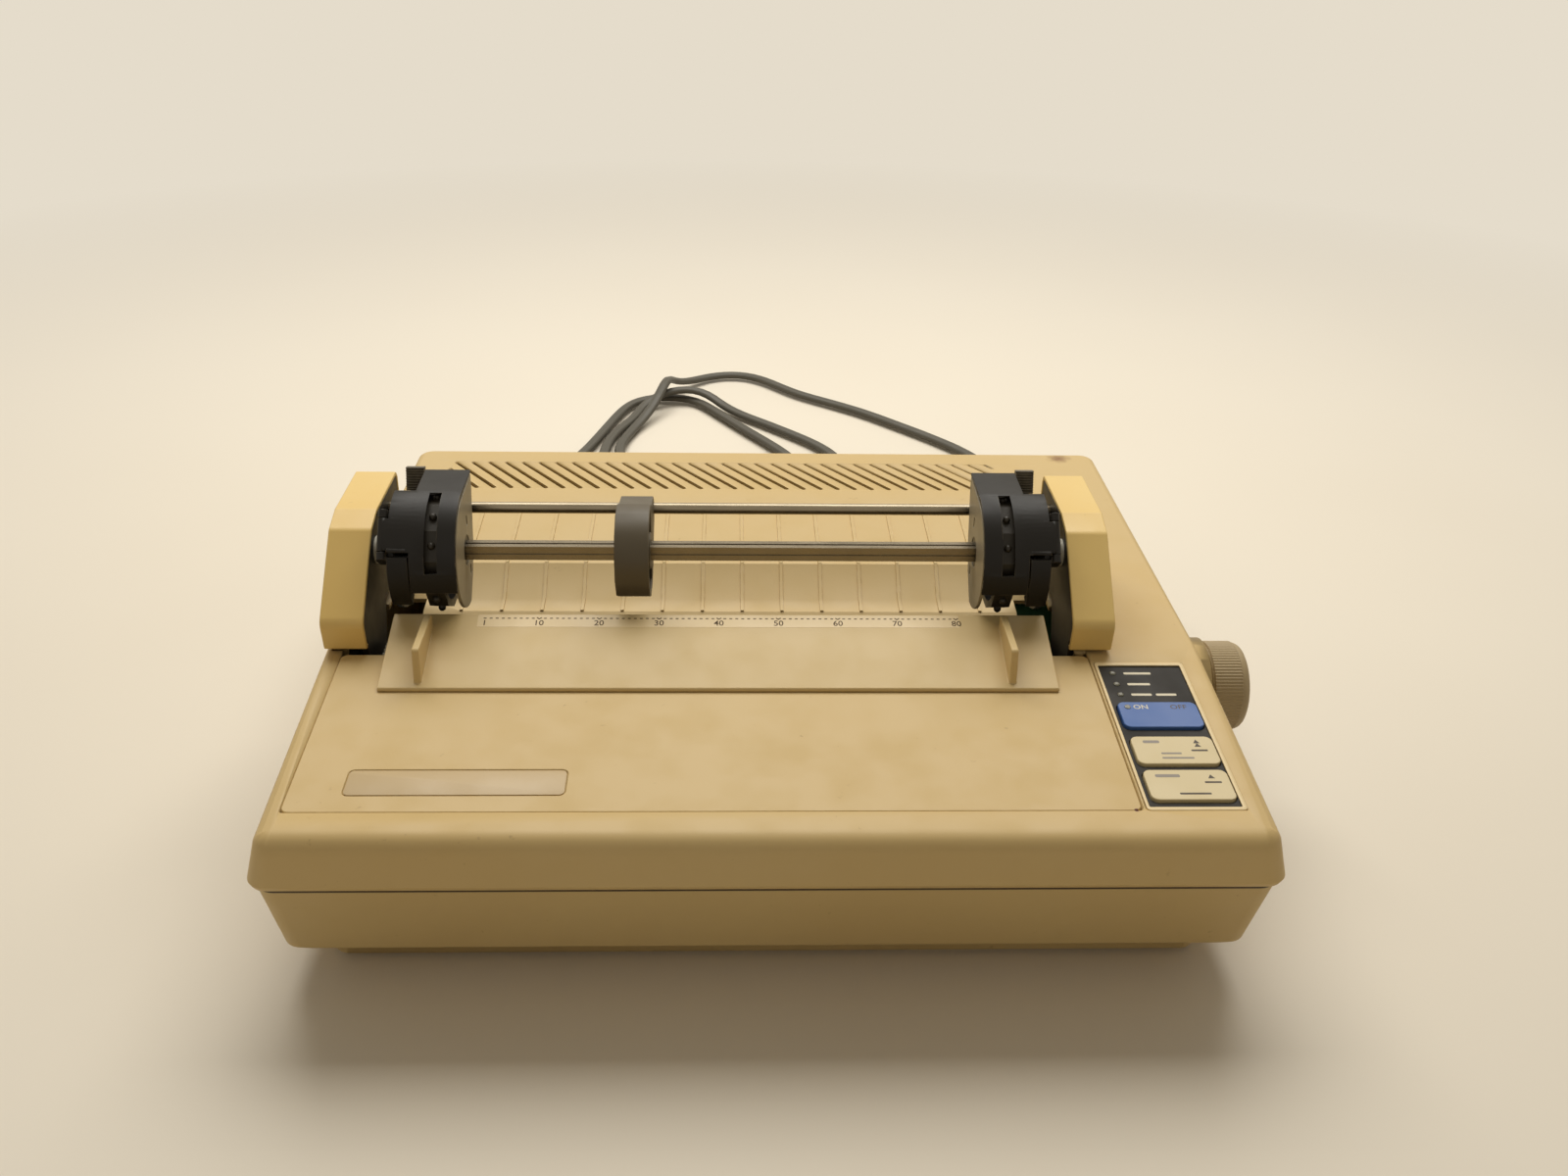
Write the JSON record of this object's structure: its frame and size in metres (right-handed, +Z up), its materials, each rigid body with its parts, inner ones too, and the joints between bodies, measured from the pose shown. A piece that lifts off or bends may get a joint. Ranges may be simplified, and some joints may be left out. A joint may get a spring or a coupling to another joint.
{
  "type": "dot matrix printer",
  "caption": "Desktop impact printer with a sloped hinged front cover, a hood over the platen, pin-wheel paper tractor, side knob and vented rear deck.",
  "frame": {"origin": "on the table under the middle of the printer, the paper feed knob included and the mains cord left out", "axes": "+X to the right as seen by the user, +Y to the rear, +Z up"},
  "size_m": [0.4002, 0.6982, 0.148],
  "materials": {
    "case_lower": "aged beige ABS",
    "case_upper": "aged beige ABS",
    "hood_plastic": "aged beige ABS",
    "rubber": "black rubber",
    "plated_steel": "zinc plated",
    "panel_black": "black film overlay",
    "circuit_board": "green board",
    "key_blue": "blue keycap",
    "key_cream": "cream keycap",
    "lamp_lens": "lamp lens",
    "sheet_steel": "zinc plated sheet",
    "nylon": "natural acetal",
    "bright_steel": "ground steel",
    "platen_rubber": "dark platen rubber",
    "knob_plastic": "aged beige plastic",
    "motor_black": "black enamel",
    "brass": "brass",
    "black_plastic": "black acetal",
    "head_alloy": "dark anodised",
    "grey_plastic": "grey plastic",
    "belt_rubber": "toothed belt",
    "connector_metal": "nickel shell",
    "core_steel": "varnished laminations",
    "cord_rubber": "black cord sheath",
    "cover_cream": "yellowed cream plastic",
    "wheel_plastic": "dark acetal"
  },
  "bodies": {
    "case": {"lower_case": "case_lower", "upper_case": "case_upper", "rubber_feet": "rubber", "screws": "plated_steel", "control_panel": "panel_black", "key_board": "circuit_board", "panel_lamps": "lamp_lens", "paper_guide": "case_upper", "chassis_base": "sheet_steel", "chassis_left": "sheet_steel", "chassis_right": "sheet_steel", "shaft_bushes": "nylon", "feed_motor": "motor_black", "carriage_rod": "bright_steel", "carriage_motor": "motor_black", "timing_belt": "belt_rubber", "main_board": "circuit_board", "interface_connector": "connector_metal", "transformer": "core_steel", "power_switch": "black_plastic", "cord_gland": "cord_rubber", "power_cord": "cord_rubber", "power_plug": "cord_rubber", "tractor_frame_left": "black_plastic", "tractor_frame_right": "black_plastic", "end_cover_left": "cover_cream", "end_cover_right": "cover_cream", "guide_shaft": "bright_steel"},
    "front_cover": {"front_cover": "case_upper", "hood_lid": "hood_plastic"},
    "online_key": {"online_key": "key_blue"},
    "form_feed_key": {"form_feed_key": "key_cream"},
    "line_feed_key": {"line_feed_key": "key_cream"},
    "platen": {"platen_shaft": "bright_steel", "platen_roller": "platen_rubber", "platen_knob": "knob_plastic", "platen_gear": "nylon"},
    "reduction_gear": {"reduction_gear": "nylon"},
    "motor_pinion": {"motor_pinion": "brass"},
    "pressure_rollers": {"pressure_rollers": "platen_rubber"},
    "carriage": {"carriage": "black_plastic", "print_head": "head_alloy", "ribbon_cartridge": "black_plastic"},
    "ribbon_knob": {"ribbon_knob": "grey_plastic"},
    "drive_pulley": {"drive_pulley": "nylon"},
    "idler_pulley": {"idler_pulley": "nylon"},
    "power_rocker": {"power_rocker": "black_plastic"},
    "drive_shaft": {"drive_shaft": "bright_steel"},
    "idler_gear_lower": {"idler_gear_lower": "black_plastic"},
    "idler_gear_middle": {"idler_gear_middle": "black_plastic"},
    "idler_gear_upper": {"idler_gear_upper": "black_plastic"},
    "left_tractor": {"sprocket_frame_left": "black_plastic"},
    "right_tractor": {"sprocket_frame_right": "black_plastic"},
    "pin_wheel_left": {"pin_wheel_left": "wheel_plastic"},
    "pin_wheel_right": {"pin_wheel_right": "wheel_plastic"},
    "flap_left": {"sprocket_flap_left": "black_plastic"},
    "flap_right": {"sprocket_flap_right": "black_plastic"},
    "lock_lever_left": {"lock_lever_left": "grey_plastic"},
    "lock_lever_right": {"lock_lever_right": "grey_plastic"},
    "centre_guide": {"centre_guide": "grey_plastic"}
  },
  "joints": [
    {"name": "front_cover_hinge", "type": "hinge", "parent": "case", "child": "front_cover", "pos_m": [-0.0301, -0.054, 0.082], "axis": [-1, 0, 0], "range_deg": [0, 45]},
    {"name": "online_key_press", "type": "slide", "parent": "case", "child": "online_key", "axis": [0, -0.0676, 0.9977], "range_m": [-0.0015, 0], "stiffness_N_per_m": 350},
    {"name": "form_feed_key_press", "type": "slide", "parent": "case", "child": "form_feed_key", "axis": [0, -0.0676, 0.9977], "range_m": [-0.0015, 0], "stiffness_N_per_m": 350},
    {"name": "line_feed_key_press", "type": "slide", "parent": "case", "child": "line_feed_key", "axis": [0, -0.0676, 0.9977], "range_m": [-0.0015, 0], "stiffness_N_per_m": 350},
    {"name": "platen_turn", "type": "hinge", "parent": "case", "child": "platen", "pos_m": [-0.0296, -0.037, 0.064], "axis": [1, 0, 0], "continuous": true},
    {"name": "reduction_gear_turn", "type": "hinge", "parent": "case", "child": "reduction_gear", "pos_m": [-0.1726, -0.01283, 0.0552], "axis": [1, 0, 0], "continuous": true},
    {"name": "motor_pinion_turn", "type": "hinge", "parent": "case", "child": "motor_pinion", "pos_m": [-0.1726, -0.00137, 0.04053], "axis": [1, 0, 0], "continuous": true},
    {"name": "pressure_rollers_turn", "type": "hinge", "parent": "case", "child": "pressure_rollers", "pos_m": [-0.0296, -0.02635, 0.04555], "axis": [1, 0, 0], "continuous": true},
    {"name": "idler_lower_turn", "type": "hinge", "parent": "case", "child": "idler_gear_lower", "pos_m": [-0.1866, -0.03453, 0.07709], "axis": [1, 0, 0], "continuous": true},
    {"name": "idler_middle_turn", "type": "hinge", "parent": "case", "child": "idler_gear_middle", "pos_m": [-0.1866, -0.03401, 0.0928], "axis": [1, 0, 0], "continuous": true},
    {"name": "idler_upper_turn", "type": "hinge", "parent": "case", "child": "idler_gear_upper", "pos_m": [-0.1866, -0.02448, 0.10531], "axis": [1, 0, 0], "continuous": true},
    {"name": "drive_shaft_turn", "type": "hinge", "parent": "case", "child": "drive_shaft", "pos_m": [-0.0296, -0.016, 0.1196], "axis": [1, 0, 0], "continuous": true},
    {"name": "left_tractor_slide", "type": "slide", "parent": "case", "child": "left_tractor", "axis": [1, 0, 0], "range_m": [0, 0.055]},
    {"name": "right_tractor_slide", "type": "slide", "parent": "case", "child": "right_tractor", "axis": [1, 0, 0], "range_m": [-0.06, 0]},
    {"name": "centre_guide_slide", "type": "slide", "parent": "case", "child": "centre_guide", "axis": [1, 0, 0], "range_m": [-0.03, 0.06]},
    {"name": "left_wheel_turn", "type": "hinge", "parent": "left_tractor", "child": "pin_wheel_left", "pos_m": [-0.15, -0.016, 0.1196], "axis": [1, 0, 0], "continuous": true},
    {"name": "right_wheel_turn", "type": "hinge", "parent": "right_tractor", "child": "pin_wheel_right", "pos_m": [0.0908, -0.016, 0.1196], "axis": [1, 0, 0], "continuous": true},
    {"name": "left_flap_hinge", "type": "hinge", "parent": "left_tractor", "child": "flap_left", "pos_m": [-0.1702, -0.03573, 0.13615], "axis": [0, 0.6428, 0.766], "range_deg": [-95, 0]},
    {"name": "right_flap_hinge", "type": "hinge", "parent": "right_tractor", "child": "flap_right", "pos_m": [0.111, -0.03573, 0.13615], "axis": [0, -0.6428, -0.766], "range_deg": [-95, 0]},
    {"name": "left_lever_turn", "type": "hinge", "parent": "left_tractor", "child": "lock_lever_left", "pos_m": [-0.16255, 0.0135, 0.126], "axis": [-1, 0, 0], "range_deg": [0, 40]},
    {"name": "right_lever_turn", "type": "hinge", "parent": "right_tractor", "child": "lock_lever_right", "pos_m": [0.10335, 0.0135, 0.126], "axis": [-1, 0, 0], "range_deg": [0, 40]},
    {"name": "carriage_slide", "type": "slide", "parent": "case", "child": "carriage", "axis": [1, 0, 0], "range_m": [0, 0.2]},
    {"name": "ribbon_knob_turn", "type": "hinge", "parent": "carriage", "child": "ribbon_knob", "pos_m": [-0.1056, -0.08, 0.072], "axis": [0, 0, 1], "continuous": true},
    {"name": "drive_pulley_turn", "type": "hinge", "parent": "case", "child": "drive_pulley", "pos_m": [-0.1576, -0.125, 0.031], "axis": [0, 0, 1], "continuous": true},
    {"name": "idler_pulley_turn", "type": "hinge", "parent": "case", "child": "idler_pulley", "pos_m": [0.0984, -0.125, 0.031], "axis": [0, 0, 1], "continuous": true},
    {"name": "power_rocker_turn", "type": "hinge", "parent": "case", "child": "power_rocker", "pos_m": [-0.1921, 0.115, 0.039], "axis": [0, 0, 1], "range_deg": [0, 14]}
  ],
  "couplings": [
    {"joint": "reduction_gear_turn", "follows": "platen_turn", "ratio": -3},
    {"joint": "motor_pinion_turn", "follows": "platen_turn", "ratio": 12.857},
    {"joint": "pressure_rollers_turn", "follows": "platen_turn", "ratio": -2.5},
    {"joint": "idler_lower_turn", "follows": "platen_turn", "ratio": -0.69231},
    {"joint": "idler_middle_turn", "follows": "platen_turn", "ratio": 0.69231},
    {"joint": "idler_upper_turn", "follows": "platen_turn", "ratio": -0.69231},
    {"joint": "drive_shaft_turn", "follows": "platen_turn", "ratio": 0.62069},
    {"joint": "left_wheel_turn", "follows": "platen_turn", "ratio": 0.62069},
    {"joint": "right_wheel_turn", "follows": "platen_turn", "ratio": 0.62069},
    {"joint": "drive_pulley_turn", "follows": "carriage_slide", "rad_per_m": -127.39},
    {"joint": "idler_pulley_turn", "follows": "carriage_slide", "rad_per_m": -127.39}
  ]
}
